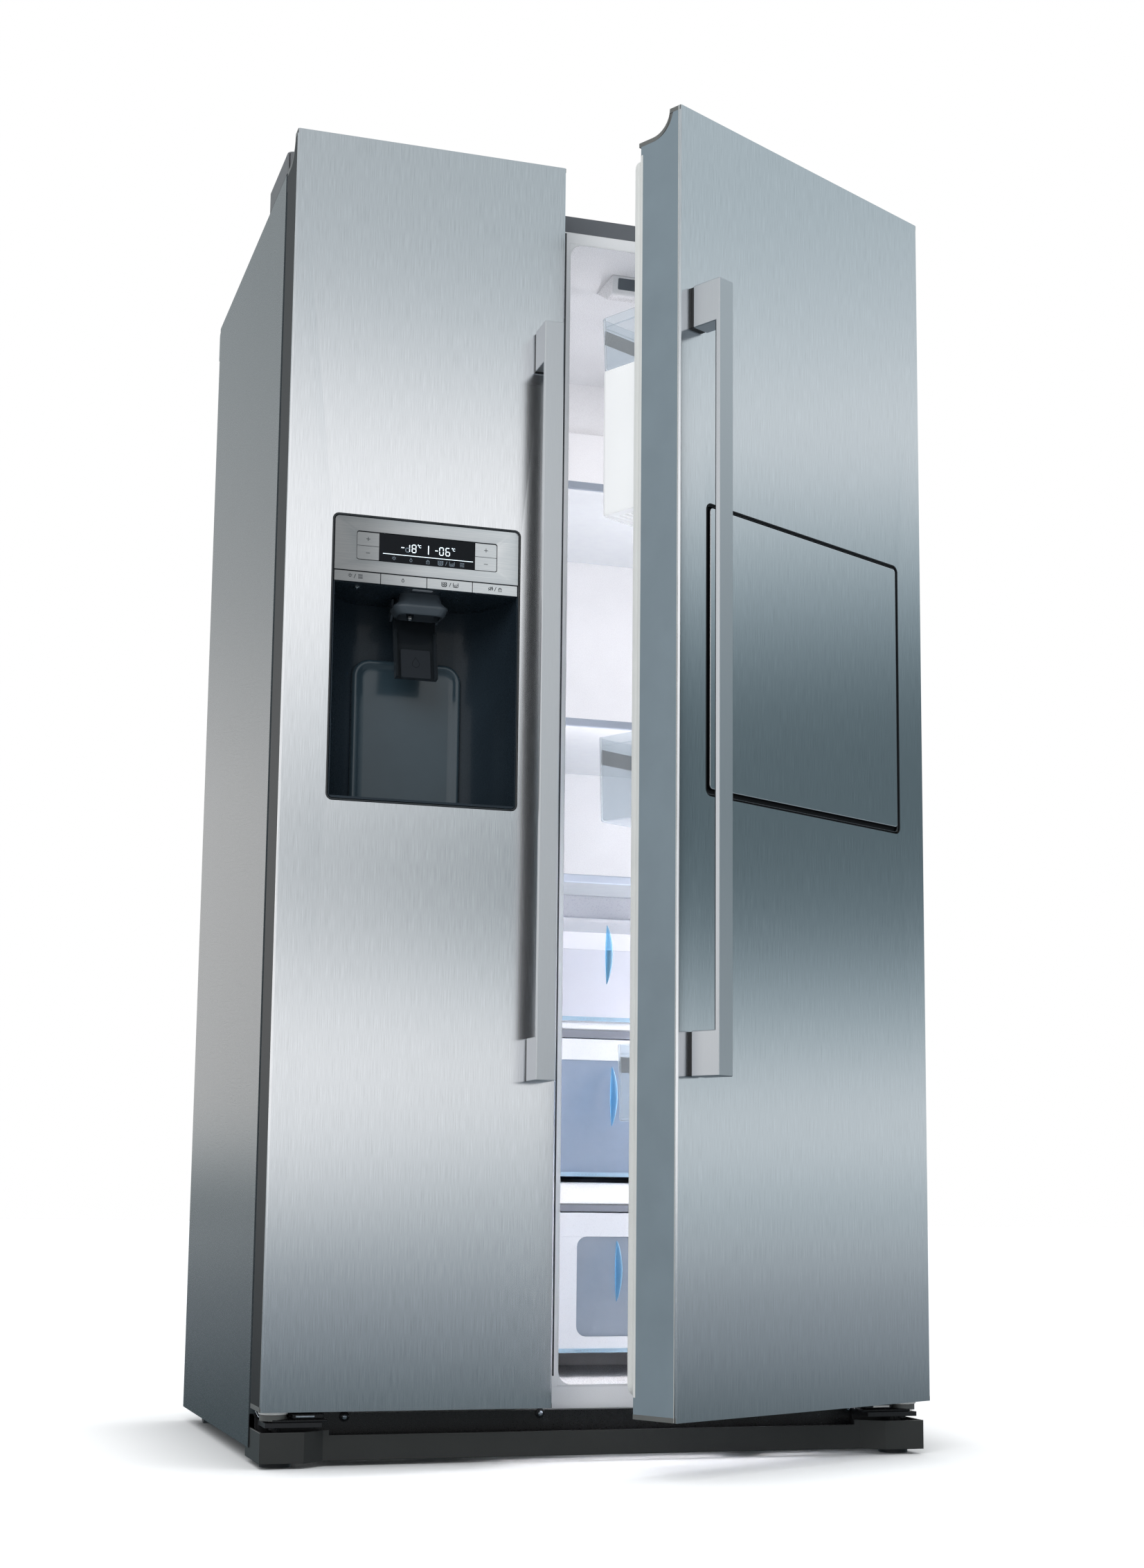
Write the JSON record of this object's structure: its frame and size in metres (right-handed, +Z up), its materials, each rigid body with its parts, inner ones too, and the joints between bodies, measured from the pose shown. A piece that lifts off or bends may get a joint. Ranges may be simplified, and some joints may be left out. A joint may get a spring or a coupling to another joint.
{
  "type": "side by side refrigerator",
  "caption": "Side by side refrigerator freezer with bar handles, a water and ice dispenser, a drop-down home bar, shelves, drawers and its cooling system.",
  "frame": {"origin": "on the floor under the middle of the object's box with the fridge door ajar; across it lies under the cabinet's middle", "axes": "+Z up, +Y towards the back, +X to the right as seen from the front"},
  "size_m": [0.9219, 0.9516, 1.766],
  "materials": {
    "casing_grey": "fine orange-peel texture",
    "top_grey": "satin",
    "back_plate": "matt galvanised",
    "frame_white": "satin",
    "foam": "closed-cell foam",
    "liner_white": "satin",
    "hinge_steel": "satin",
    "cover_grey": "fine grain",
    "base_black": "satin",
    "roller_nylon": "satin",
    "foot_grey": "satin",
    "plinth_charcoal": "fine grain",
    "compressor_black": "gloss",
    "coil_metal": "raw",
    "fan_plastic": "satin",
    "tray_plastic": "satin",
    "machine_cover": "galvanised",
    "valve_plastic": "satin",
    "unit_grey": "satin",
    "shelf_glass": "clear tempered",
    "shelf_trim": "satin",
    "drawer_clear": "clear",
    "door_steel": "vertical grain",
    "cap_grey": "fine grain",
    "gasket_cream": "ribbed",
    "handle_aluminium": "satin anodised",
    "bin_clear": "clear",
    "trim_dark": "gloss",
    "panel_steel": "horizontal grain",
    "housing_dark": "gloss",
    "spout_dark": "satin",
    "paddle_smoke": "gloss"
  },
  "bodies": {
    "cabinet": {"back_panel": "back_plate", "base_pan": "base_black", "breaker_frame": "frame_white", "ceiling_unit": "unit_grey", "compressor": "compressor_black", "condenser": "coil_metal", "drawer_dividers": "shelf_trim", "drip_tray": "tray_plastic", "evaporator": "coil_metal", "freezer_duct_cover": "liner_white", "freezer_liner": "liner_white", "fridge_duct_cover": "liner_white", "fridge_liner": "liner_white", "glass_shelves": "shelf_glass", "hinge_brackets": "hinge_steel", "hinge_covers": "cover_grey", "ice_maker": "unit_grey", "insulation": "foam", "machine_cover": "machine_cover", "plinth": "plinth_charcoal", "shelf_trims": "shelf_trim", "side_panels": "casing_grey", "top_panel": "top_grey", "water_valve": "valve_plastic"},
    "fridge_door": {"fridge_door_skin": "door_steel", "fridge_door_caps": "cap_grey", "fridge_door_core": "foam", "fridge_door_gasket": "gasket_cream", "fridge_handle": "handle_aluminium", "fridge_door_liner": "liner_white", "fridge_door_bins": "bin_clear", "home_bar_frame": "trim_dark"},
    "home_bar_flap": {"home_bar_flap": "door_steel"},
    "freezer_door": {"freezer_door_skin": "door_steel", "freezer_door_caps": "cap_grey", "freezer_door_core": "foam", "freezer_door_gasket": "gasket_cream", "freezer_handle": "handle_aluminium", "freezer_door_liner": "liner_white", "freezer_door_bins": "bin_clear", "dispenser_trim": "trim_dark", "dispenser_housing": "housing_dark", "control_panel": "panel_steel", "ice_spout": "spout_dark"},
    "dispenser_paddle": {"dispenser_paddle": "paddle_smoke"},
    "freezer_temp_key": {"freezer_temp_key": "panel_steel"},
    "fridge_temp_key": {"fridge_temp_key": "panel_steel"},
    "lamp_key": {"lamp_key": "panel_steel"},
    "water_key": {"water_key": "panel_steel"},
    "ice_key": {"ice_key": "panel_steel"},
    "lock_key": {"lock_key": "panel_steel"},
    "freezer_drawer": {"freezer_drawer": "drawer_clear"},
    "top_drawer": {"top_drawer": "drawer_clear"},
    "middle_drawer": {"middle_drawer": "drawer_clear"},
    "bottom_drawer": {"bottom_drawer": "drawer_clear"},
    "condenser_fan": {"condenser_fan": "fan_plastic"},
    "evaporator_fan": {"evaporator_fan": "fan_plastic"},
    "rear_rollers": {"rear_rollers": "roller_nylon"},
    "front_foot_left": {"front_foot_left": "foot_grey"},
    "front_foot_right": {"front_foot_right": "foot_grey"}
  },
  "joints": [
    {"name": "fridge_door_hinge", "type": "hinge", "parent": "cabinet", "child": "fridge_door", "pos_m": [0.433, -0.18202, 0.9], "axis": [0, 0, 1], "range_deg": [-27.75, 102.25]},
    {"name": "freezer_door_hinge", "type": "hinge", "parent": "cabinet", "child": "freezer_door", "pos_m": [-0.433, -0.18202, 0.9], "axis": [0, 0, -1], "range_deg": [0, 130]},
    {"name": "home_bar_hinge", "type": "hinge", "parent": "fridge_door", "child": "home_bar_flap", "pos_m": [0.23543, -0.31873, 0.85], "axis": [0.885, 0.4656, 0], "range_deg": [0, 90]},
    {"name": "paddle_pivot", "type": "hinge", "parent": "freezer_door", "child": "dispenser_paddle", "pos_m": [-0.2645, -0.14002, 1.116], "axis": [1, 0, 0], "range_deg": [0, 12], "stiffness_Nm_per_rad": 0.05, "springref_deg": -28.65},
    {"name": "freezer_temp_rocker", "type": "hinge", "parent": "freezer_door", "child": "freezer_temp_key", "pos_m": [-0.3454, -0.21222, 1.18925], "axis": [1, 0, 0], "range_deg": [-2, 2], "stiffness_Nm_per_rad": 0.05},
    {"name": "fridge_temp_rocker", "type": "hinge", "parent": "freezer_door", "child": "fridge_temp_key", "pos_m": [-0.1836, -0.21222, 1.18925], "axis": [1, 0, 0], "range_deg": [-2, 2], "stiffness_Nm_per_rad": 0.05},
    {"name": "lamp_push", "type": "slide", "parent": "freezer_door", "child": "lamp_key", "axis": [0, 1, 0], "range_m": [0, 0.0005], "stiffness_N_per_m": 200, "springref_m": -0.001},
    {"name": "water_push", "type": "slide", "parent": "freezer_door", "child": "water_key", "axis": [0, 1, 0], "range_m": [0, 0.0005], "stiffness_N_per_m": 200, "springref_m": -0.001},
    {"name": "ice_push", "type": "slide", "parent": "freezer_door", "child": "ice_key", "axis": [0, 1, 0], "range_m": [0, 0.0005], "stiffness_N_per_m": 200, "springref_m": -0.001},
    {"name": "lock_push", "type": "slide", "parent": "freezer_door", "child": "lock_key", "axis": [0, 1, 0], "range_m": [0, 0.0005], "stiffness_N_per_m": 200, "springref_m": -0.001},
    {"name": "freezer_drawer_slide", "type": "slide", "parent": "cabinet", "child": "freezer_drawer", "axis": [0, -1, 0], "range_m": [0, 0.2401]},
    {"name": "top_drawer_slide", "type": "slide", "parent": "cabinet", "child": "top_drawer", "axis": [0, -1, 0], "range_m": [-0.049, 0.18]},
    {"name": "middle_drawer_slide", "type": "slide", "parent": "cabinet", "child": "middle_drawer", "axis": [0, -1, 0], "range_m": [-0.049, 0.18]},
    {"name": "bottom_drawer_slide", "type": "slide", "parent": "cabinet", "child": "bottom_drawer", "axis": [0, -1, 0], "range_m": [-0.049, 0.18]},
    {"name": "condenser_fan_spin", "type": "hinge", "parent": "cabinet", "child": "condenser_fan", "pos_m": [0.02, 0.36138, 0.0955], "axis": [1, 0, 0], "continuous": true},
    {"name": "evaporator_fan_spin", "type": "hinge", "parent": "cabinet", "child": "evaporator_fan", "pos_m": [-0.24975, 0.34498, 0.76], "axis": [0, 1, 0], "continuous": true},
    {"name": "rear_rollers_roll", "type": "hinge", "parent": "cabinet", "child": "rear_rollers", "pos_m": [0, 0.40598, 0.014], "axis": [1, 0, 0], "continuous": true},
    {"name": "front_foot_left_screw", "type": "hinge", "parent": "cabinet", "child": "front_foot_left", "pos_m": [-0.426, -0.16602, 0.005], "axis": [0, 0, 1], "continuous": true},
    {"name": "front_foot_right_screw", "type": "hinge", "parent": "cabinet", "child": "front_foot_right", "pos_m": [0.426, -0.16602, 0.005], "axis": [0, 0, 1], "continuous": true}
  ],
  "couplings": [
    {"joint": "freezer_drawer_slide", "follows": "freezer_door_hinge", "m_per_rad": 0.1058},
    {"joint": "top_drawer_slide", "follows": "fridge_door_hinge", "m_per_rad": 0.1008},
    {"joint": "middle_drawer_slide", "follows": "fridge_door_hinge", "m_per_rad": 0.1008},
    {"joint": "bottom_drawer_slide", "follows": "fridge_door_hinge", "m_per_rad": 0.1008}
  ]
}
